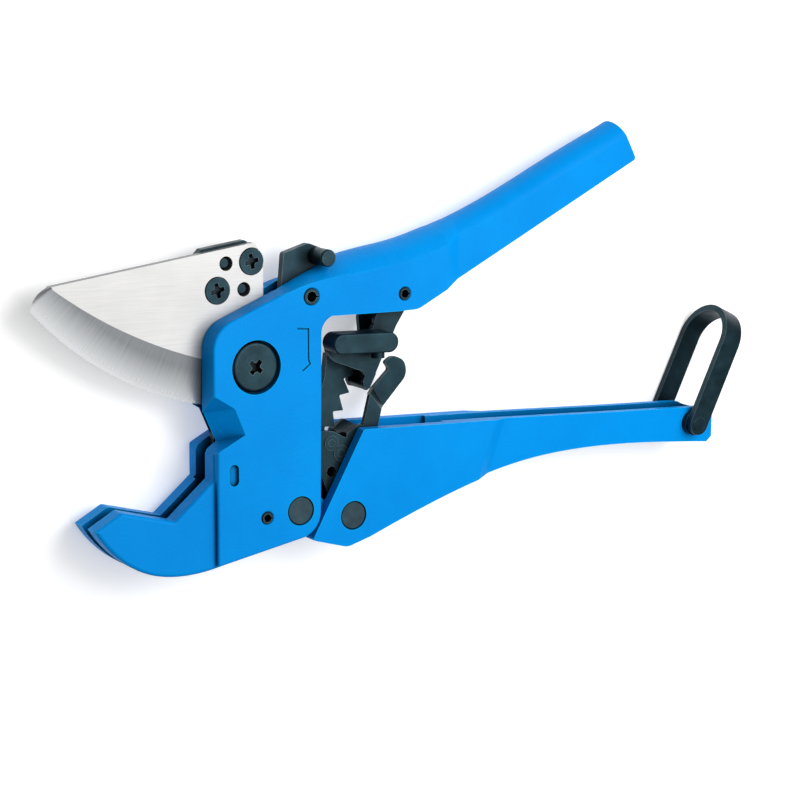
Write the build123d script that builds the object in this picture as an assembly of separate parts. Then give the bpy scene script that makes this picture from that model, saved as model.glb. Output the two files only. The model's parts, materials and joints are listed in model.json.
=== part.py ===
"""Ratchet pipe cutter for plastic pipe, one STEP file per piece.

Drawn in millimetres round the blade pivot: X runs from the jaws to the handles, Y from the lower
handle to the upper one, Z from the back cheek to the front cheek. At the end everything moves so
that the origin is under the middle of the tool, which lies on its back.
"""
from build123d import *
from math import cos, hypot, radians, sin
import os

# ---- Driving dimensions -------------------------------------------------------------------------
BODY = 18.6                      # width of the casting, back face at Z 0
MIDDLE = BODY / 2
JAW_STEP = 1.7                   # how far the jaw cheeks lie under the body's faces
GRIP_STEP = 2.4                  # how far the grips lie under the body's faces
HEAD_SLOT = (5.4, 11.4)          # room for blade and ratchet sector, back and front wall
JAW_SLOT = (7.2, 11.4)           # the narrower slot that the blade closes into
REAR_SLOT = (3.4, 15.2)          # room for the lower handle's tongue and the drive pawl
BLADE = (8.3, 11.1)
SECTOR = (5.7, 8.3)
SHEET = 1.5                      # thickness of the folded pawls
PAWL = (3.9, 14.7)               # outside of the folded pawls
TAIL = (7.8, 7.8 + SHEET)        # layer of the drive pawl's release hook
LATCH = (8.5, 10.9)
EAR_GAP = (6.2, 12.4)            # between the tongue's ears, where the return spring sits
WALL = 3.2                       # wall of the hollow handles

PIVOT = (0.0, 0.0)
HANDLE_PIVOT = (14.6, -43.6)
PAWL_PIVOT = (32.5, -47.0)
HOLD_PIVOT = (49.7, 18.1)
LATCH_PIVOT = (18.0, 19.2)
ANCHOR = (3.5, -44.5)
BAIL_PIVOT = (161.4, -31.3)
SCREWS = ((-8.6, 21.7), (2.4, 29.5))
DOWELS = ((-5.8, 29.3), (-0.1, 21.6))
PAWL_RIVETS = ((27.0, -25.3), (30.3, -28.6))
THUMB_PIN = (23.6, 30.0)
TAB_CENTRE = (34.9, 4.7)
TAB_TILT = -1.8                  # direction of the finger tab's length from +X
BAIL_ANGLE = 64.5                # direction of the bail's legs from +X

BUSH_R = 6.0                     # pivot bushing, outside
SHOULDER_R = 4.5                 # pivot bolt in the bushing
BOLT_HEAD_R = 7.4
RIVET_R = 3.2
RIVET_HEAD_R = 4.2
LATCH_PIN_R = 2.5
HOLD_PIN_R = 2.0
ANCHOR_PIN_R = 1.9
BAIL_PIN_R = 2.4
RUNNING = 0.05                   # radial clearance of a pin in the piece that turns on it
SEAT = 0.1                       # clearance between a fixed piece and its seat

TOOTH_PITCH = 8.3                # degrees
FIRST_TOOTH = -9.8               # direction of the highest tooth tip
TOOTH_COUNT = 12
TIP_R = 38.7
ROOT_R = 35.9
TOOTH_FLAT = 2.3                 # degrees from a tip to the root under it
FINGER_R = 29.2                  # inner edge of the sector's free finger
HUB_R = 23.4
SWEEP_R = TIP_R + 0.9            # room that the sector turns in
HOLD_REST = 4.2                  # degrees the holding pawl is lifted out of the teeth

BAIL_WIDTH = 7.0
BAIL_SHEET = 2.0
BAIL_OUTER_R = 11.1              # half the width over the bail's legs
BAIL_STRAIGHT = 28.0


# ---- Helpers ------------------------------------------------------------------------------------
def outline(*corners):
    """A flat face with corners (x, y, rounding radius)."""
    pairs = zip(corners, corners[1:] + corners[:1])
    if sum(a[0] * b[1] - b[0] * a[1] for a, b in pairs) < 0:
        corners = corners[::-1]
    points = [(x, y) for x, y, _ in corners]
    return make_face(FilletPolyline(*points, radius=[r for *_, r in corners], close=True))


def slab(face, low, high):
    return extrude(Pos(0, 0, low) * face, amount=high - low)


def plate(low, high, *corners):
    return slab(outline(*corners), low, high)


def rod(place, radius, low, high):
    solid = Cylinder(radius, high - low, align=(Align.CENTER, Align.CENTER, Align.MIN))
    return Pos(place[0], place[1], low) * solid


def polar(radius, angle):
    return (radius * cos(radians(angle)), radius * sin(radians(angle)))


def face_edges(solid, *heights):
    """The edges that lie flat at the given heights."""
    return [e for e in solid.edges()
            if any(abs(e.bounding_box().min.Z - h) < 0.01 and abs(e.bounding_box().max.Z - h) < 0.01
                   for h in heights)]


def coil(place, radius, wire, low, turns):
    """A close-wound spring coil standing on the height low."""
    pitch = wire * 1.12
    path = Helix(pitch=pitch, height=pitch * turns, radius=radius)
    section = Plane(origin=path @ 0, z_dir=path % 0) * Circle(wire / 2)
    return Pos(place[0], place[1], low + wire / 2) * sweep(section, path=path)


def bar(start, end, radius):
    """A round bar between two points in space."""
    axis = Vector(*end) - Vector(*start)
    return Plane(origin=Vector(*start), z_dir=axis) * Cylinder(
        radius, axis.length, align=(Align.CENTER, Align.CENTER, Align.MIN))


def cross_recess(place, top, width, depth, angle):
    """The cross-shaped driver recess of a screw head."""
    slots = Box(width, width * 0.3, depth * 2) + Box(width * 0.3, width, depth * 2)
    middle = Cylinder(width * 0.28, depth * 2)
    return Pos(place[0], place[1], top) * Rot(0, 0, angle) * (slots + middle)


# ---- Frame casting ------------------------------------------------------------------------------
def head_block():
    """Head of the tool at full width, with the root of the upper handle's underside."""
    block = plate(0, BODY,
                  (-12.5, -57.3, 0.5), (-12.6, -23.7, 1.2), (-9.5, -21.7, 0.3),
                  (-13.8, -12.6, 1.0), (-13.8, 11.3, 9.0), (10.0, 21.0, 20), (30.0, 24.7, 0),
                  (30.0, 13.3, 0), (21.6, 13.3, 5.2), (21.6, -50.8, 7.5))
    rims = [e for e in face_edges(block, 0, BODY) if e.center().X < 24]
    return fillet(rims, 0.8)


def jaw_block():
    """Both jaw cheeks before they are slotted."""
    belly = Spline((-49.9, -42.9), (-42.8, -51.4), (-33.6, -57.1), (-23.0, -59.0), (-8.0, -57.0))
    upper = FilletPolyline((-8.0, -57.0), (-8.0, -24.0), (-13.0, -23.9), (-13.0, -32.2), (-25.3, -42.7),
                           (-41.7, -38.3), (-49.9, -42.9), radius=[0, 1.2, 0.4, 1.0, 1.2])
    block = slab(make_face([belly, upper]), JAW_STEP, BODY - JAW_STEP)
    rims = [e for e in face_edges(block, JAW_STEP, BODY - JAW_STEP) if e.center().X < -13]
    return fillet(rims, 1.0)


def handle_section(x, rim, crest, step):
    """One cross-section of the upper handle: flat cheeks, a crisp rim and an arched top."""
    low, high = step, BODY - step
    corners = [(x, rim, low), (x, 0, low), (x, 0, high), (x, rim, high)]
    return make_face([Polyline(*corners), ThreePointArc(corners[3], (x, crest, MIDDLE), corners[0])])


def upper_handle():
    """The upper handle's arched bar, cut to its underside and end."""
    root = [(2.0, 16.6, 16.7), (12.0, 21.4, 21.9), (21.4, 23.8, 26.3), (34.0, 25.4, 30.4),
            (48.0, 27.2, 32.8), (56.0, 29.0, 34.6), (64.6, 31.8, 37.0)]
    grip = [(69.9, 34.7, 38.8), (77.6, 37.3, 41.8), (91.0, 42.9, 47.8), (106.8, 50.5, 55.6),
            (117.6, 55.5, 60.7), (138.0, 66.0, 71.3)]
    root_sections = [handle_section(*place, 0) for place in root]
    grip_sections = [handle_section(*place, GRIP_STEP) for place in grip]
    bar_parts = [loft(root_sections), loft([root_sections[-1], grip_sections[0]], ruled=True),
                 loft(grip_sections)]
    side_view = plate(-1, BODY + 1, (0, 13.3, 0), (47.6, 13.0, 6), (54.5, 13.2, 6), (70.5, 21.4, 6),
                      (136.0, 54.9, 1.0), (129.8, 66.4, 0), (129.8, 90, 0), (0, 90, 0))
    return (bar_parts[0] + bar_parts[1] + bar_parts[2]) & side_view


def notch_relief(side):
    """Slanted clearance faces where the blade's heel enters, on the front (1) or back (-1) cheek."""
    inner, outer = (HEAD_SLOT[1], BODY) if side > 0 else (JAW_SLOT[0], 0)
    low = [(-22, -8.0), (-13.9, -13.0), (-13.4, -13.2), (-9.6, -21.6), (-12.9, -23.2), (-22, -27.8)]
    high = [(-22, -2.0), (-12.4, -8.0), (-7.0, -11.4), (-3.6, -19.3), (-11.9, -23.5), (-22, -28.6)]
    run_on = 1.15                # the slants continue past the outer face by this share
    beyond = inner + (outer - inner) * run_on
    wide = [(a + (b - a) * run_on, c + (d - c) * run_on) for (a, c), (b, d) in zip(low, high)]
    faces = [Pos(0, 0, z) * make_face(Polyline(*ring, close=True))
             for z, ring in ((inner, low), (beyond, wide))]
    return loft(faces, ruled=True)


def frame_casting():
    casting = head_block() + jaw_block() + upper_handle()
    # slots: head, jaws, rear
    swept = Circle(SWEEP_R) & (Pos(14, 0) * Rectangle(56, 100)
                               + Pos(-20, 14) * Rectangle(40, 52))
    casting -= slab(swept, *HEAD_SLOT)
    casting -= plate(*HEAD_SLOT, (-30, -12, 0), (-12, -12, 0), (-6, -21, 0), (-13, -26, 0), (-12, 40, 0),
                     (-30, 40, 0))
    casting -= plate(*JAW_SLOT, (-60, -20, 0), (-4, -20, 0), (-6, -46, 6), (-14, -52.5, 6),
                     (-39.5, -54.6, 1), (-60, -62, 0))
    casting -= plate(*REAR_SLOT, (7.4, -70, 0), (7.4, -40, 4), (14.5, -30, 4), (15.5, -8, 3),
                     (40, -8, 0), (40, -70, 0))
    casting -= plate(HEAD_SLOT[0], 13.2, (0.4, -49.4, 1), (0.4, -41.4, 1), (9, -41.4, 0), (9, -49.4, 0))
    # hollow upper handle, open underneath
    casting -= plate(WALL, BODY - WALL, (26, 9, 0), (26, 21.5, 4), (37, 25.4, 20), (62, 30.0, 5),
                     (62, 9, 0))
    casting -= plate(GRIP_STEP + 2.8, BODY - GRIP_STEP - 2.8,
                     (58, 9, 0), (58, 28.8, 3), (70, 32.5, 10), (100, 45.4, 30), (126.0, 58.2, 3),
                     (130.5, 45, 0))
    casting -= plate(HEAD_SLOT[0], HEAD_SLOT[1], (20, 8, 0), (20, 21, 2), (29, 23.5, 0), (29, 8, 0))
    # blade pivot
    casting -= rod(PIVOT, SHOULDER_R + SEAT, -1, BODY + 1)
    casting -= rod(PIVOT, BOLT_HEAD_R + 0.5, BODY - 3.0, BODY + 1)
    casting -= Pos(0, 0, -1) * extrude(RegularPolygon(7.7, 6), amount=4.2)
    casting -= rod(PIVOT, 12.0, HEAD_SLOT[1], HEAD_SLOT[1] + 2.7) - rod(PIVOT, 9.2, 0, BODY)
    # handle pivot and roll pins
    casting -= rod(HANDLE_PIVOT, RIVET_R + SEAT, -1, BODY + 1)
    casting -= rod(HANDLE_PIVOT, RIVET_HEAD_R + 0.2, BODY - 1.8, BODY + 1)
    casting -= rod(HANDLE_PIVOT, RIVET_HEAD_R + 0.2, -1, 1.8)
    for place, radius in ((ANCHOR, ANCHOR_PIN_R), (LATCH_PIVOT, LATCH_PIN_R), (HOLD_PIVOT, HOLD_PIN_R)):
        casting -= rod(place, radius, -1, BODY + 1)
        casting -= Pos(place[0], place[1], BODY) * Cone(radius, radius + 0.6, 0.6)
    for side in (1, -1):
        casting -= notch_relief(side)
    # shallow pocket and engraved arrow on the front
    pocket = Pos(-7.3, -30.8) * Rot(0, 0, 1) * SlotOverall(6.4, 3.1, rotation=90)
    casting -= slab(pocket, BODY - 1.2, BODY + 1)
    casting -= slab(arrow_stroke(), BODY - 0.45, BODY + 1)
    return casting


def arrow_stroke():
    """A plain bent arrow: stem, shaft and one barb."""
    return trace(Polyline((13.2, 10.3), (16.9, 9.9), (17.0, 0.9), (17.5, -0.3), (15.0, -2.2)),
                 line_width=0.6)


# ---- Blade pivot hardware -----------------------------------------------------------------------
def pivot_bolt():
    top = BODY - 0.4
    head = fillet(face_edges(rod(PIVOT, BOLT_HEAD_R, BODY - 2.9, top), top), 1.1)
    bolt = head + rod(PIVOT, SHOULDER_R, 5.0, BODY - 2.9) + rod(PIVOT, 3.9, 0.6, 5.0)
    return bolt - cross_recess(PIVOT, top, 4.8, 2.4, 50)


def pivot_bushing():
    return rod(PIVOT, BUSH_R, *HEAD_SLOT) - rod(PIVOT, SHOULDER_R + SEAT, 0, BODY)


def pivot_nut():
    nut = Pos(0, 0, 0.3) * extrude(RegularPolygon(7.5, 6), amount=2.7)
    nut = chamfer(face_edges(nut, 0.3), 0.5)
    return nut - rod(PIVOT, 4.0, 0, 4)


def blade_return_spring():
    return coil(PIVOT, 10.6, 1.1, HEAD_SLOT[1] + 0.1, 1.0)


def rivet(place):
    shank = rod(place, RIVET_R, 1.0, BODY - 1.0)
    heads = [rod(place, RIVET_HEAD_R, BODY - 1.7, BODY - 0.15), rod(place, RIVET_HEAD_R, 0.15, 1.7)]
    heads[0] = chamfer(face_edges(heads[0], BODY - 0.15), 0.3)
    heads[1] = chamfer(face_edges(heads[1], 0.15), 0.3)
    return shank + heads[0] + heads[1]


def roll_pin(place, radius, low, high):
    """A rolled tube with a slit along it and chamfered ends."""
    pin = rod(place, radius, low, high)
    pin = chamfer(face_edges(pin, low, high), 0.3)
    pin -= rod(place, radius * 0.62, low - 1, high + 1)
    slit = Pos(place[0] + radius, place[1], (low + high) / 2) * Box(radius * 1.6, 0.5, high - low + 2)
    return pin - slit


# ---- Blade group --------------------------------------------------------------------------------
def blade_outline(height, nose, tip, edge_middle, heel):
    """The blade's outline at one height: the ground side moves in from the edge towards a face."""
    back, corner, hub_low, hub_side = (-59.5, 25.8), (3.4, 34.9), (-8.0, -10.6), (11.4, 6.2)
    lines = [
        ThreePointArc(back, nose, tip),
        ThreePointArc(tip, edge_middle, heel),
        Line(heel, hub_low),
        ThreePointArc(hub_low, (9.2, -9.2), hub_side),
        FilletPolyline(hub_side, (6.2, 15.0), (6.2, 30.6), corner, back, radius=[3, 3, 0.6]),
    ]
    return Pos(0, 0, height) * make_face(lines)


def cutting_blade():
    middle = (BLADE[0] + BLADE[1]) / 2
    land = 0.05                  # half the thickness left at the edge
    edge = ((-63.3, 23.4), (-65.2, 19.2), (-41.3, -0.1), (-13.0, -11.0))
    inner = ((-59.3, 25.55), (-59.0, 25.0), (-37.5, 11.8), (-13.5, 2.4))
    core = blade_outline(middle - land, *edge)
    blade = extrude(core, amount=2 * land)
    for height, rim in ((BLADE[1], middle + land), (BLADE[0], middle - land)):
        blade += loft([blade_outline(rim, *edge), blade_outline(height, *inner)], ruled=True)
    blade -= rod(PIVOT, BUSH_R + RUNNING, 0, BODY)
    for place in SCREWS:
        blade -= rod(place, 2.6, 0, BODY)
        blade -= rod(place, 4.05, BLADE[1] - 0.9, BODY)
    for place in DOWELS:
        blade -= rod(place, 2.1, 0, BODY)
    return blade


def sector_outline():
    """Hub, arm under the blade's root and the toothed arc with its free finger."""
    teeth = []
    for k in range(TOOTH_COUNT):
        tip = FIRST_TOOTH - k * TOOTH_PITCH
        teeth += [polar(TIP_R - 0.1, tip + 0.4), polar(TIP_R, tip), polar(ROOT_R, tip - TOOTH_FLAT),
                  polar(ROOT_R, tip - TOOTH_FLAT - 0.7)]
    last = FIRST_TOOTH - (TOOTH_COUNT - 1) * TOOTH_PITCH
    heel = [polar(ROOT_R, last - 6), polar(24, last - 10), polar(14, last - 20), (-13.6, 0)]
    arm = [(-15.4, 18), (-13.6, 32.0), (-12.3, 33.4), (1.5, 35.4), (5.2, 33.6), (6.2, 29.0),
           (6.2, 18), (12.5, 8), polar(19.0, -8)]
    slot_floor = [polar(HUB_R, -24), polar(26.3, -30)]
    finger = [polar(FINGER_R, -28), polar(FINGER_R, -14), polar(FINGER_R, 0.5), polar(33.5, 2.5),
              polar(36.0, -3.5)]
    return Polyline(*(heel + arm + slot_floor + finger + teeth), close=True)


def ratchet_sector():
    face = make_face(sector_outline())
    roots = [v for v in face.vertices() if abs(hypot(v.X, v.Y) - ROOT_R) < 0.02 and v.Y < -7]
    sector = slab(fillet(roots, 0.3), *SECTOR)
    sector -= rod(PIVOT, BUSH_R + RUNNING, 0, BODY)
    for place in SCREWS:
        sector -= rod(place, 2.1, 0, BODY)
    for place in DOWELS:
        sector -= rod(place, 1.85, 0, BODY)
    return sector


def blade_screws():
    """Two flat-headed screws that clamp the blade to the sector."""
    screws = []
    for place, angle in zip(SCREWS, (14, 12)):
        top = BLADE[1] + 0.2
        screw = rod(place, 2.0, SECTOR[0] + 0.1, BLADE[1] - 0.85)
        head = rod(place, 3.9, BLADE[1] - 0.85, top)
        screw += chamfer(face_edges(head, top), 0.2)
        screws.append(screw - cross_recess(place, top, 4.4, 1.6, angle))
    return screws


def blade_dowels():
    """Two dowels in the sector; their domed ends sit inside the blade's holes."""
    dowels = []
    for place in DOWELS:
        dowel = rod(place, 1.8, SECTOR[0] + 0.1, BLADE[1] - 1.0)
        dowels.append(fillet(face_edges(dowel, BLADE[1] - 1.0), 0.7))
    return dowels


# ---- Lower handle -------------------------------------------------------------------------------
def handle_face():
    belly = Spline((168.0, -38.3), (139.3, -35.9), (119.0, -35.4), (94.8, -37.2), (67.3, -43.8),
                   (38.4, -54.1))
    rest = FilletPolyline((38.4, -54.1), (30.5, -56.4), (18.6, -53.0), (35.9, -21.4), (82.3, -22.9),
                          (133.8, -25.2), (164.4, -26.4), (170.0, -29.0), (170.0, -36.6),
                          (168.0, -38.3), radius=[5, 0.8, 1.0, 60, 60, 1, 0.6, 0.3])
    return make_face([belly, rest])


def lower_handle():
    face = handle_face()
    handle = slab(face, 0, BODY) - shoulder_cut(1) - shoulder_cut(-1)
    handle -= plate(*REAR_SLOT, (10, -52.4, 0), (31, -53.0, 4), (38.4, -50.9, 10), (66, -41.0, 0),
                    (66, -10, 0), (10, -10, 0))
    handle -= plate(GRIP_STEP + 2.6, BODY - GRIP_STEP - 2.6, (60, -42.5, 5), (94.8, -33.6, 30),
                    (119, -32.0, 30), (139.3, -32.9, 30), (166.6, -35.9, 1), (166.6, -10, 0),
                    (60, -10, 0))
    handle += tongue(face)
    handle -= rod(HANDLE_PIVOT, RIVET_R + RUNNING, -1, BODY + 1)
    handle -= rod(PAWL_PIVOT, RIVET_R + SEAT, -1, BODY + 1)
    for low, high in ((-1, 1.8), (BODY - 1.8, BODY + 1)):
        handle -= rod(PAWL_PIVOT, RIVET_HEAD_R + 0.2, low, high)
    return handle - rod(BAIL_PIVOT, BAIL_PIN_R + SEAT, -1, BODY + 1)


def shoulder_cut(side):
    """What is missing beyond the slanted shoulder on the front (1) or back (-1) face."""
    face_z, out = (BODY, 1) if side > 0 else (0, -1)
    sections = []
    for y, full, narrow in ((-18.0, 84.6, 90.0), (-45.0, 75.5, 80.0)):
        outside, step = face_z + out, face_z - out * GRIP_STEP
        sections.append(make_face(Polyline((full - (narrow - full) / GRIP_STEP, y, outside),
                                           (180, y, outside), (180, y, step), (narrow, y, step),
                                           close=True)))
    return loft(sections, ruled=True)


def tongue(face):
    """Two ears that run between the frame's cheeks, rooted in the handle's walls."""
    side_gap = 0.15
    ears = plate(REAR_SLOT[0] + side_gap, REAR_SLOT[1] - side_gap,
                 (8.2, -50.0, 6.3), (8.2, -37.2, 6.3), (19.5, -37.3, 6), (26.4, -44.5, 2),
                 (26.4, -54.9, 0.5), (19.5, -52.8, 2))
    roots = slab(face & Pos(21.0, -52) * Rectangle(10, 15), REAR_SLOT[0] - 0.4, REAR_SLOT[1] + 0.4)
    gap = plate(*EAR_GAP, (0, -60, 0), (0, -30, 0), (30, -30, 0), (30, -52.4, 0), (16, -52.4, 0))
    return ears + roots - gap


def bail_barrel():
    low, high = GRIP_STEP + 2.65, BODY - GRIP_STEP - 2.65
    return rod(BAIL_PIVOT, 3.4, low, high) - rod(BAIL_PIVOT, BAIL_PIN_R + RUNNING, 0, BODY)


def bail_spacers():
    rings = []
    for low, high in ((0.3, GRIP_STEP), (BODY - GRIP_STEP, BODY - 0.3)):
        rings.append(rod(BAIL_PIVOT, 3.9, low, high) - rod(BAIL_PIVOT, BAIL_PIN_R + RUNNING, -1, BODY))
    return rings


def handle_return_spring():
    """Torsion spring round the handle rivet, its leg held by the anchor pin."""
    radius, wire, low, lean = 4.9, 1.2, 6.4, 262.4
    spring = Pos(*HANDLE_PIVOT, 0) * Rot(0, 0, lean) * Pos(-HANDLE_PIVOT[0], -HANDLE_PIVOT[1], 0) * coil(
        HANDLE_PIVOT, radius, wire, low, 3.4)
    contact = Vector(*HANDLE_PIVOT, low + wire / 2) + Vector(*polar(radius, lean), 0)
    along = Vector(*polar(1, lean - 90), 0)
    return spring + bar(contact - along * 0.6, contact + along * 12.0, wire / 2)


# ---- Drive pawl ---------------------------------------------------------------------------------
def drive_flange(low, high):
    return plate(low, high,
                 (20.6, -27.0, 3), (23.3, -21.0, 2.4), (28.6, -22.2, 3), (32.6, -24.9, 5),
                 (38.4, -22.2, 2), (41.5, -23.2, 1.5), (38.6, -33, 8), (37.6, -44, 3),
                 (37.6, -52, 4.9), (27.4, -52, 4.9), (27.4, -44, 4))


def drive_pawl():
    """One folded sheet: two flanges joined by the nose, and the front one drawn out to a hook."""
    front = drive_flange(PAWL[1] - SHEET, PAWL[1])
    front += plate(PAWL[1] - SHEET, PAWL[1], (35.5, -25.5, 0), (38.1, -20.5, 2), (40.3, -11.7, 0.3),
                   (44.3, -16.7, 0.3), (42.6, -23.5, 2), (39.9, -28, 0))
    back = drive_flange(PAWL[0], PAWL[0] + SHEET)
    web = plate(*PAWL, (32.2, -22.9, 0.5), (36.9, -20.4, 1.0), (41.6, -23.6, 1.0),
                (39.4, -26.6, 0.6), (36.0, -24.6, 2), (32.4, -25.8, 0.5))
    trough = Pos(36.5, -17.0, MIDDLE) * Rot(0, 0, 12) * Rot(0, 90, 0) * Cylinder(5.5, 14)
    pawl = front + back + (web - trough) + tail()
    pawl -= rod(PAWL_PIVOT, RIVET_R + RUNNING, 0, BODY)
    pawl -= rod((27.1, -33.9), 1.6, 0, BODY)
    for place in PAWL_RIVETS:
        pawl -= rod(place, 1.55, 0, BODY)
    return pawl


def tail():
    """The release lever: the front sheet steps in to the middle and ends in a hook."""
    low, high = TAIL
    hook = plate(low, high, (44.2, -11.4, 0.3), (50.1, -5.8, 0.9), (48.5, -3.7, 0.6), (51.4, -1.6, 3.2),
                 (55.8, -3.6, 3.6), (56.3, -8.2, 4.0), (48.0, -17.0, 0.3))
    ends = ((40.0, -11.9, 44.0, -16.9, PAWL[1] - SHEET, PAWL[1]), (44.5, -11.1, 48.2, -16.8, low, high))
    faces = [make_face(Polyline((a, b, lo), (c, d, lo), (c, d, hi), (a, b, hi), close=True))
             for a, b, c, d, lo, hi in ends]
    return hook + loft(faces, ruled=True)


def pawl_rivets():
    """Studs in each flange, clear of the sector that runs between the flanges."""
    rivets = []
    for place, head in zip(PAWL_RIVETS, (2.3, 2.5)):
        top, bottom = PAWL[1] + 0.25, PAWL[0] - 0.25
        front = rod(place, 1.5, PAWL[1] - SHEET, top) + rod(place, head, PAWL[1], top)
        rivets.append(front - rod(place, 1.0, top - 0.2, top + 1))
        rivets.append(rod(place, 1.5, bottom, PAWL[0] + SHEET) + rod(place, head, bottom, PAWL[0]))
    return rivets


def drive_pawl_spring():
    """Torsion spring round the pawl rivet, its long leg behind the pawl's nose."""
    radius, wire, low, turns = 4.2, 1.0, 6.0, 4
    top = low + wire / 2 + wire * 1.12 * turns
    leg_end = (PAWL_PIVOT[0] + 10.4, PAWL_PIVOT[1] + 25.5, top)
    return coil(PAWL_PIVOT, radius, wire, low, turns) + bar(
        (PAWL_PIVOT[0] + radius, PAWL_PIVOT[1] - 0.6, top), leg_end, wire / 2)


# ---- Holding pawl -------------------------------------------------------------------------------
def about_hold(solid, angle):
    x, y = HOLD_PIVOT
    return Pos(x, y, 0) * Rot(0, 0, angle) * Pos(-x, -y, 0) * solid


def hold_pawl():
    """A folded sheet like the drive pawl; its front flange carries the finger tab on a lug."""
    blank = ((44.3, 23.4, 5.2), (44.3, 17.0, 3), (41.0, 10.8, 2), (41.2, 4.6, 2), (35.8, -3.4, 1),
             (36.8, -5.2, 0.4), (36.0, -6.6, 0.3), (36.1, -8.3, 0.4), (36.8, -9.8, 0.3), (37.9, -9.3, 1),
             (47.4, 6.9, 8), (55.1, 16.9, 3), (55.1, 23.4, 5.2))
    flanges = plate(PAWL[1] - SHEET, PAWL[1], *blank) + plate(PAWL[0], PAWL[0] + SHEET, *blank)
    lug = plate(PAWL[1] - SHEET, PAWL[1], (42.0, 12.0, 2), (39.9, 8.3, 1.5), (27.0, 8.7, 3.5),
                (23.7, 4.4, 2), (26.6, 0.6, 2), (35.6, -3.6, 0), (42, -2, 0), (45, 8, 0))
    toe = plate(*PAWL, (36.1, -8.1, 0.3), (36.9, -9.7, 0.3), (38.1, -9.2, 0.5), (40.6, -5.1, 0.3),
                (39.6, -4.5, 0.3), (38.9, -7.2, 0.3))
    back_web = plate(*PAWL, (44.4, 4.2, 0.3), (45.7, 3.4, 0.5), (49.2, 9.6, 0.5), (48.0, 10.4, 0.3))
    pawl = flanges + lug + toe + back_web
    pawl -= rod(HOLD_PIVOT, HOLD_PIN_R + RUNNING, 0, BODY)
    return about_hold(pawl, HOLD_REST)


def finger_tab():
    tab = SlotOverall(22.0, 6.0)
    tab = slab(Pos(*TAB_CENTRE) * Rot(0, 0, TAB_TILT) * tab, PAWL[1], PAWL[1] + 6.9)
    return fillet(face_edges(tab, PAWL[1] + 6.9), 0.5)


def tab_screw():
    """Small screw head under the tab, its axis along Y."""
    x, y, z = 40.4, 1.45, PAWL[1] + 4.0
    height = 1.7
    return Pos(x, y - height / 2, z) * Rot(90, 0, 0) * Cylinder(2.0, height)


def hold_pawl_spring():
    return coil(HOLD_PIVOT, 3.3, 0.9, 6.2, 5)


# ---- Thumb latch --------------------------------------------------------------------------------
def latch_lever():
    lever = plate(*LATCH, (13.4, 14.6, 4.4), (12.1, 20.0, 4), (13.0, 31.3, 1.2), (21.3, 33.8, 2),
                  (27.2, 31.5, 2), (26.9, 27.2, 2), (22.7, 24.0, 3), (22.7, 14.6, 4.4))
    lever -= rod(LATCH_PIVOT, LATCH_PIN_R + RUNNING, 0, BODY)
    return lever - rod(THUMB_PIN, 1.55, 0, BODY)


def latch_thumb_pin():
    pin = rod(THUMB_PIN, 1.5, LATCH[0], LATCH[1]) + rod(THUMB_PIN, 2.55, LATCH[1], BODY)
    return chamfer(face_edges(pin, BODY), 0.4)


# ---- Handle bail --------------------------------------------------------------------------------
def handle_bail():
    """Bent strap: two legs on the pin and a round arch over the handle's width."""
    half = BAIL_WIDTH / 2
    inner_r = BAIL_OUTER_R - BAIL_SHEET
    arch = Pos(BAIL_STRAIGHT, 0) * (Circle(BAIL_OUTER_R) - Circle(inner_r))
    arch = arch & Pos(BAIL_STRAIGHT + 50, 0) * Rectangle(100, 100)
    mid = (BAIL_OUTER_R + inner_r) / 2
    legs = [Pos(BAIL_STRAIGHT / 2, s * mid) * Rectangle(BAIL_STRAIGHT, BAIL_SHEET) for s in (1, -1)]
    strap = extrude(arch + legs[0] + legs[1], amount=half, both=True)
    strap = Rot(90, 0, 0) * strap
    for s in (1, -1):
        strap += Pos(0, 0, s * mid) * Cylinder(half, BAIL_SHEET)
    strap -= Cylinder(BAIL_PIN_R + RUNNING, 60)
    return Pos(BAIL_PIVOT[0], BAIL_PIVOT[1], MIDDLE) * Rot(0, 0, BAIL_ANGLE) * strap


def bail_pin():
    """A pin with one low head at the back; its front end is rounded over in the leg's eye."""
    low, high = MIDDLE - BAIL_OUTER_R, MIDDLE + BAIL_OUTER_R + 0.3
    pin = rod(BAIL_PIVOT, BAIL_PIN_R, low, high)
    pin = fillet(face_edges(pin, high), 0.25)
    head = rod(BAIL_PIVOT, 3.3, low - 0.6, low)
    return pin + fillet(face_edges(head, low - 0.6), 0.3)


# ---- Export -------------------------------------------------------------------------------------
PIECES = {
    "frame_casting": frame_casting(),
    "pivot_bolt": pivot_bolt(),
    "pivot_bushing": pivot_bushing(),
    "pivot_nut": pivot_nut(),
    "blade_return_spring": blade_return_spring(),
    "handle_pivot_rivet": rivet(HANDLE_PIVOT),
    "handle_return_spring": handle_return_spring(),
    "spring_anchor_pin": roll_pin(ANCHOR, ANCHOR_PIN_R, 0.2, BODY + 0.1),
    "latch_pivot_pin": roll_pin(LATCH_PIVOT, LATCH_PIN_R, 0.2, BODY + 0.1),
    "hold_pawl_pin": roll_pin(HOLD_PIVOT, HOLD_PIN_R, 0.2, BODY + 0.1),
    "cutting_blade": cutting_blade(),
    "ratchet_sector": ratchet_sector(),
    "blade_screws": blade_screws(),
    "blade_dowels": blade_dowels(),
    "lower_handle": lower_handle(),
    "pawl_pivot_rivet": rivet(PAWL_PIVOT),
    "bail_barrel": bail_barrel(),
    "bail_spacers": bail_spacers(),
    "drive_pawl": drive_pawl(),
    "pawl_rivets": pawl_rivets(),
    "drive_pawl_spring": drive_pawl_spring(),
    "hold_pawl": hold_pawl(),
    "finger_tab": finger_tab(),
    "tab_screw": tab_screw(),
    "hold_pawl_spring": hold_pawl_spring(),
    "latch_lever": latch_lever(),
    "latch_thumb_pin": latch_thumb_pin(),
    "handle_bail": handle_bail(),
    "bail_pin": bail_pin(),
}


def as_compound(piece):
    return Compound(children=list(piece)) if isinstance(piece, list) else piece


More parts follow.
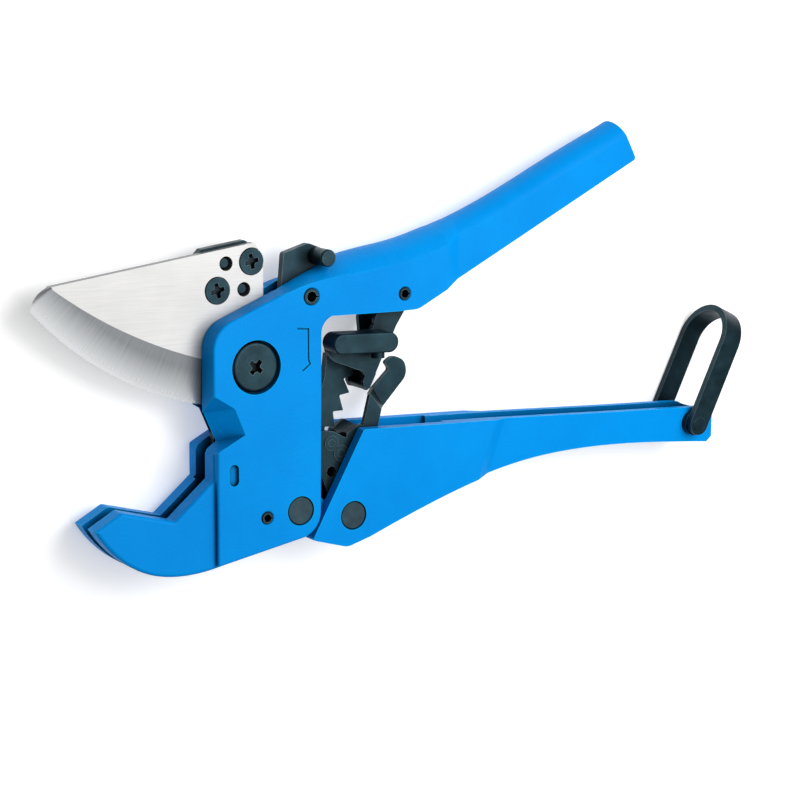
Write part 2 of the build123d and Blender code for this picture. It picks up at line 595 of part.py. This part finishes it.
PIECES = {name: as_compound(piece) for name, piece in PIECES.items()}
box = Compound(children=[Compound(piece.wrapped) for piece in PIECES.values()]).bounding_box()
SHIFT = (-(box.min.X + box.max.X) / 2, -(box.min.Y + box.max.Y) / 2, -box.min.Z)
print("shift", [round(v, 4) for v in SHIFT], "size", [round(v, 2) for v in box.size])
os.makedirs("parts", exist_ok=True)
for name, piece in PIECES.items():
    export_step(Pos(*SHIFT) * piece, f"parts/{name}.step")
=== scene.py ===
"""Looks for the ratchet pipe cutter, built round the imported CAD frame. Lengths are metres."""
import bpy
import json
import math
from mathutils import Matrix, Vector


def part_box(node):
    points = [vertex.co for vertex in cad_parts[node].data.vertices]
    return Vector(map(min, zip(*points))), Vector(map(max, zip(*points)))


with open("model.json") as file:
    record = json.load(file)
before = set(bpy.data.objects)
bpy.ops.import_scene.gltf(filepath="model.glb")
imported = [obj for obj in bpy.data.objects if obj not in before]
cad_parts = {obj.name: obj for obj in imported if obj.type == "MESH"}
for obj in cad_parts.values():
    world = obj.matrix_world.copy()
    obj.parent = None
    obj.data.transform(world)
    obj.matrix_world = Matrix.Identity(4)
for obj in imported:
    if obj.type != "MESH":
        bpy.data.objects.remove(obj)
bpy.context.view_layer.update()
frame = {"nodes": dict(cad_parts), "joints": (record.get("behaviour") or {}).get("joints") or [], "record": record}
MM = 0.001

# ---- Places, read from the frame ----------------------------------------------------------------
JOINT_AT = {j["name"]: Vector(j["pos_m"]) for j in frame["joints"]}
PIVOT = JOINT_AT["blade_pivot"]
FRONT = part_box("frame_casting")[1].z      # height of the casting's front face


def at(x, y, z=0.0):
    """A point x, y from the blade pivot and z above the front face, given in millimetres."""
    return Vector((PIVOT.x + x * MM, PIVOT.y + y * MM, FRONT + z * MM))


# ---- Node helpers -------------------------------------------------------------------------------
class Shader:
    """A small wrapper round one material's node tree."""

    def __init__(self, name):
        self.material = bpy.data.materials.new(name)
        self.material.use_nodes = True
        self.nodes = self.material.node_tree.nodes
        self.links = self.material.node_tree.links
        self.surface = self.nodes["Principled BSDF"]
        self.place = self.nodes.new("ShaderNodeTexCoord").outputs["Object"]

    def set(self, **values):
        for name, value in values.items():
            self.surface.inputs[name.replace("_", " ")].default_value = value

    def link(self, source, target):
        self.links.new(source, target)

    def noise(self, scale, detail=3.0, rough=0.5, place=None):
        node = self.nodes.new("ShaderNodeTexNoise")
        node.inputs["Scale"].default_value = scale
        node.inputs["Detail"].default_value = detail
        node.inputs["Roughness"].default_value = rough
        self.link(place or self.place, node.inputs["Vector"])
        return node.outputs["Fac"]

    def ramp(self, value, *stops):
        """Colour or grey ramp through (position, colour) stops."""
        node = self.nodes.new("ShaderNodeValToRGB")
        ramp = node.color_ramp
        while len(ramp.elements) < len(stops):
            ramp.elements.new(0.5)
        for element, (position, colour) in zip(ramp.elements, stops):
            element.position = position
            element.color = grey(colour) if isinstance(colour, float) else (*colour, 1.0)
        self.link(value, node.inputs["Fac"])
        return node.outputs["Color"]

    def math(self, operation, a, b=0.5):
        node = self.nodes.new("ShaderNodeMath")
        node.operation = operation
        for socket, value in zip(node.inputs, (a, b)):
            if isinstance(value, (int, float)):
                socket.default_value = value
            else:
                self.link(value, socket)
        return node.outputs["Value"]

    def mix(self, share, a, b, mode="MIX"):
        """Colours or sockets a and b, mixed by share."""
        node = self.nodes.new("ShaderNodeMix")
        node.data_type = "RGBA"
        node.blend_type = mode
        factor, colour_a, colour_b = (node.inputs[i] for i in (0, 6, 7))
        for socket, value in ((factor, share), (colour_a, a), (colour_b, b)):
            if isinstance(value, (int, float)):
                socket.default_value = value
            elif isinstance(value, tuple):
                socket.default_value = (*value, 1.0)
            else:
                self.link(value, socket)
        return node.outputs[2]    # the colour result

    def edge(self, radius, low, high):
        """1 along sharp edges and 0 on faces, from how far a rounded normal leans off the face."""
        rounded = self.nodes.new("ShaderNodeBevel")
        rounded.samples = 8
        rounded.inputs["Radius"].default_value = radius
        lean = self.nodes.new("ShaderNodeVectorMath")
        lean.operation = "DOT_PRODUCT"
        self.link(rounded.outputs["Normal"], lean.inputs[0])
        self.link(self.nodes.new("ShaderNodeNewGeometry").outputs["Normal"], lean.inputs[1])
        return self.ramp(lean.outputs["Value"], (low, 1.0), (high, 0.0))

    def recess_shade(self, reach, low, high, darkest, own=True):
        """Painted shade: 1 on open faces, falling to darkest in hollows where shade falls, of the piece alone if
        own is set.
        """
        occlusion = self.nodes.new("ShaderNodeAmbientOcclusion")
        occlusion.samples = 8
        occlusion.only_local = own
        occlusion.inputs["Distance"].default_value = reach
        return self.ramp(occlusion.outputs["AO"], (low, darkest), (high, 1.0))

    def bump(self, height, strength, distance):
        node = self.nodes.new("ShaderNodeBump")
        node.inputs["Strength"].default_value = strength
        node.inputs["Distance"].default_value = distance
        self.link(height, node.inputs["Height"])
        self.link(node.outputs["Normal"], self.surface.inputs["Normal"])

    def mapped(self, turn, scale):
        """The object's coordinates, turned and scaled."""
        node = self.nodes.new("ShaderNodeMapping")
        node.inputs["Rotation"].default_value = turn
        node.inputs["Scale"].default_value = scale
        self.link(self.place, node.inputs["Vector"])
        return node.outputs["Vector"]


def grey(value):
    return (value, value, value, 1.0)


# ---- Materials ----------------------------------------------------------------------------------
def powder_coat():
    """Azure powder coat: orange peel, faint mottling, a painted highlight paler on edges and painted shade darker
    in slots.
    """
    s = Shader("coat_blue")
    mottle = s.noise(38.0, 4.0, 0.6)
    tone = s.ramp(mottle, (0.3, (0.0, 0.215, 0.62)), (0.7, (0.0, 0.250, 0.69)))
    # painted highlight: a paler blue on sharp edges, patchy with the mottling, stands in for light catching the
    # edges
    painted_edge_highlight = s.math("MULTIPLY", s.edge(0.5 * MM, 0.86, 0.995), s.ramp(mottle, (0.3, 0.45), (0.7, 0.85)))
    tone = s.mix(painted_edge_highlight, tone, (0.0, 0.40, 0.80))
    # painted shade: the coat colour darkens in slots and hollows of the piece, where shade falls
    tone = s.mix(1.0, tone, s.recess_shade(14.0 * MM, 0.35, 0.92, 0.16), "MULTIPLY")
    s.link(tone, s.surface.inputs["Base Color"])
    gloss = s.ramp(s.noise(420.0, 2.0), (0.3, 0.34), (0.7, 0.46))
    s.link(gloss, s.surface.inputs["Roughness"])
    s.bump(s.noise(1300.0, 2.0, 0.6), 0.30, 0.0003)
    s.set(Specular_IOR_Level=0.035)
    return s.material


def black_steel():
    """Blackened steel, satin, with faint rubbed patches, edges paler from rubbed wear and a painted highlight, and
    painted shade darkening its recesses.
    """
    s = Shader("black_steel")
    patch = s.noise(160.0, 4.0, 0.6)
    tone = s.ramp(patch, (0.35, (0.004, 0.020, 0.029)), (0.75, (0.012, 0.040, 0.053)))
    # rubbed wear and painted highlight: a paler grey on sharp edges, patchy, stands partly in for light catching
    # the edges
    painted_edge_highlight = s.math("MULTIPLY", s.edge(0.35 * MM, 0.80, 0.99), s.ramp(patch, (0.35, 0.35), (0.7, 0.9)))
    tone = s.mix(painted_edge_highlight, tone, (0.13, 0.19, 0.22))
    # painted shade: darker in hollows and where other parts and the floor crowd the piece
    tone = s.mix(1.0, tone, s.recess_shade(6.0 * MM, 0.3, 0.9, 0.12, own=False), "MULTIPLY")
    s.link(tone, s.surface.inputs["Base Color"])
    gloss = s.ramp(s.noise(300.0, 3.0), (0.3, 0.36), (0.7, 0.52))
    s.link(gloss, s.surface.inputs["Roughness"])
    s.bump(s.noise(1500.0, 2.0), 0.08, 0.0001)
    s.set(Metallic=0.75)
    return s.material


def blued_steel():
    """Rivet heads: dark steel with a blue cast."""
    s = Shader("blued_steel")
    tone = s.ramp(s.noise(240.0, 3.0), (0.3, (0.010, 0.028, 0.040)), (0.7, (0.024, 0.058, 0.078)))
    s.link(tone, s.surface.inputs["Base Color"])
    gloss = s.ramp(s.noise(500.0, 3.0), (0.3, 0.34), (0.7, 0.5))
    s.link(gloss, s.surface.inputs["Roughness"])
    s.set(Metallic=0.6)
    return s.material


EDGE_CENTRE = at(7.86, 83.27)             # centre of the arc that the cutting edge follows
EDGE_RADIUS = 96.55 * MM
BEVEL = 11.6 * MM                         # width of the ground bevel
GRIND_LINES = 700.0                       # grinding marks per radian along the edge
GRIND_STRETCH = 60.0                      # how fast the marks change across the bevel
BRUSH_ANGLE = math.radians(-8)            # direction of the brushing on the flat
BRUSH_SCALE = (90, 3600, 400)             # long along the blade and fine across it
FLAT_FACING = (0.9970, 0.9992)            # upward part of the normal, on the bevel and on the flat


def blade_steel():
    """Satin blade: faint lengthwise brushing on the flat, cross grind on the bevel, bright edge."""
    s = Shader("blade_steel")
    from_centre = s.nodes.new("ShaderNodeVectorMath")
    from_centre.operation = "SUBTRACT"
    s.link(s.place, from_centre.inputs[0])
    from_centre.inputs[1].default_value = EDGE_CENTRE
    split = s.nodes.new("ShaderNodeSeparateXYZ")
    s.link(from_centre.outputs["Vector"], split.inputs["Vector"])
    x, y = split.outputs["X"], split.outputs["Y"]
    radius = s.math("SQRT", s.math("ADD", s.math("MULTIPLY", x, x), s.math("MULTIPLY", y, y)))
    turn = s.math("ARCTAN2", y, x)
    depth = s.math("DIVIDE", s.math("SUBTRACT", EDGE_RADIUS, radius), BEVEL)
    facing = s.nodes.new("ShaderNodeSeparateXYZ")
    s.link(s.nodes.new("ShaderNodeTexCoord").outputs["Normal"], facing.inputs["Vector"])
    level = s.math("ABSOLUTE", facing.outputs["Z"])
    bevel = s.ramp(level, (FLAT_FACING[0], 1.0), (FLAT_FACING[1], 0.0))
    glow = s.ramp(depth, (0.02, 1.0), (0.80, 0.0))
    land = s.math("MULTIPLY", glow, bevel)
    # grinding lines run across the bevel, brushing runs along the blade
    grind_place = s.nodes.new("ShaderNodeCombineXYZ")
    s.link(s.math("MULTIPLY", turn, GRIND_LINES), grind_place.inputs["X"])
    s.link(s.math("MULTIPLY", radius, GRIND_STRETCH), grind_place.inputs["Y"])
    grind = s.noise(1.0, 4.0, 0.7, place=grind_place.outputs["Vector"])
    brush = s.noise(1.0, 4.0, 0.65, place=s.mapped((0, 0, BRUSH_ANGLE), BRUSH_SCALE))
    cloud = s.noise(45.0, 3.0, 0.6)
    flat_tone = s.mix(0.35, s.ramp(brush, (0.25, (0.34, 0.34, 0.337)), (0.75, (0.53, 0.526, 0.52))),
                      s.ramp(cloud, (0.3, (0.37, 0.37, 0.367)), (0.7, (0.55, 0.546, 0.54))))
    bevel_tone = s.ramp(grind, (0.3, (0.10, 0.108, 0.114)), (0.7, (0.23, 0.24, 0.25)))
    tone = s.mix(bevel, flat_tone, bevel_tone)
    tone = s.mix(land, tone, (0.43, 0.44, 0.45))
    s.link(tone, s.surface.inputs["Base Color"])
    gloss = s.mix(bevel, s.ramp(brush, (0.3, 0.38), (0.7, 0.50)), s.ramp(grind, (0.3, 0.30), (0.7, 0.44)))
    s.link(s.mix(land, gloss, (0.26, 0.26, 0.26)), s.surface.inputs["Roughness"])
    s.bump(s.mix(bevel, brush, grind), 0.05, 0.00005)
    s.set(Metallic=0.5)
    return s.material


def spring_steel():
    """Bare drawn wire."""
    s = Shader("spring_steel")
    tone = s.ramp(s.noise(900.0, 3.0), (0.3, (0.30, 0.31, 0.33)), (0.7, (0.46, 0.47, 0.49)))
    s.link(tone, s.surface.inputs["Base Color"])
    s.link(s.ramp(s.noise(1500.0, 2.0), (0.3, 0.26), (0.7, 0.38)), s.surface.inputs["Roughness"])
    s.set(Metallic=1.0)
    return s.material


def bronze():
    """Plain bearing bronze."""
    s = Shader("bronze")
    tone = s.ramp(s.noise(700.0, 3.0), (0.3, (0.42, 0.27, 0.11)), (0.7, (0.58, 0.40, 0.18)))
    s.link(tone, s.surface.inputs["Base Color"])
    s.link(s.ramp(s.noise(900.0, 2.0), (0.3, 0.35), (0.7, 0.55)), s.surface.inputs["Roughness"])
    s.set(Metallic=1.0)
    return s.material


MATERIALS = {"coat_blue": powder_coat(), "black_steel": black_steel(), "blued_steel": blued_steel(),
             "blade_steel": blade_steel(), "spring_steel": spring_steel(), "bronze": bronze()}
for entry in frame["record"]["subparts"]:
    node = frame["nodes"][entry["node"]]
    node.data.materials.clear()
    node.data.materials.append(MATERIALS[entry["material_slot"]])


# ---- Floor, light and camera --------------------------------------------------------------------
def floor():
    """A plain pale floor; its faint glow keeps it pale away from the lamps."""
    mesh = bpy.data.meshes.new("floor")
    half = 3.0
    mesh.from_pydata([(-half, -half, 0), (half, -half, 0), (half, half, 0), (-half, half, 0)], [],
                     [(0, 1, 2, 3)])
    plane = bpy.data.objects.new("floor", mesh)
    bpy.context.scene.collection.objects.link(plane)
    s = Shader("floor")
    s.link(s.ramp(s.noise(2.0), (0.3, 0.70), (0.7, 0.72)), s.surface.inputs["Base Color"])
    s.set(Roughness=0.9, Emission_Color=grey(1.0), Emission_Strength=0.42)
    mesh.materials.append(s.material)


def area_light(name, place, target, size, power):
    """A white rectangular lamp at place, aimed at target."""
    data = bpy.data.lights.new(name, "AREA")
    data.shape = "RECTANGLE"
    data.size, data.size_y = size
    data.energy = power
    light = bpy.data.objects.new(name, data)
    light.location = place
    light.rotation_euler = (Vector(target) - Vector(place)).to_track_quat("-Z", "Y").to_euler()
    bpy.context.scene.collection.objects.link(light)


def camera():
    """Looks at the front from the jaws' side and a little from above, through a long lens."""
    side, lift, roll = (math.radians(angle) for angle in (32.33, 8.97, -0.625))
    distance = 656.0 * MM             # from the lens to the blade pivot, along the view
    aim = (-0.0623, -0.01413)         # the pivot's place in view, right and down, per unit of depth
    # the tool's downward normal and its X and Y, as the camera sees them: right, down, ahead
    ahead = Vector((-math.sin(side) * math.cos(lift), -math.sin(lift), math.cos(side) * math.cos(lift)))
    level = (Vector((1, 0, 0)) - ahead * ahead.x).normalized()
    rise = level.cross(ahead)
    seen_x = level * math.cos(roll) + rise * math.sin(roll)
    seen_y = rise * math.cos(roll) - level * math.sin(roll)
    pivot = Vector((*aim, 1.0)) * distance
    place = at(0, 0) + Vector((-pivot.dot(seen_x), -pivot.dot(seen_y), pivot.dot(ahead)))
    right = Vector((seen_x.x, seen_y.x, -ahead.x))
    up = -Vector((seen_x.y, seen_y.y, -ahead.y))
    back = -Vector((seen_x.z, seen_y.z, -ahead.z))
    data = bpy.data.cameras.new("camera")
    data.lens = 103.5
    data.sensor_width = 36.0
    data.clip_start = 0.05
    view = bpy.data.objects.new("camera", data)
    view.matrix_world = Matrix.Translation(place) @ Matrix((right, up, back)).transposed().to_4x4()
    bpy.context.scene.collection.objects.link(view)
    bpy.context.scene.camera = view


floor()
camera()
# two soft lamps over the tool's right half
area_light("key", (0.17, 0.22, 0.46), (0.03, 0.02, 0), (0.40, 0.40), 2.2)
area_light("top", (0.05, 0.02, 0.46), (0.03, 0.0, 0), (0.50, 0.50), 1.8)

world = bpy.data.worlds.new("world")
bpy.context.scene.world = world
world.use_nodes = True
world.node_tree.nodes["Background"].inputs["Color"].default_value = (1, 1, 1, 1)
world.node_tree.nodes["Background"].inputs["Strength"].default_value = 0.14
bpy.context.scene.view_settings.view_transform = "Standard"
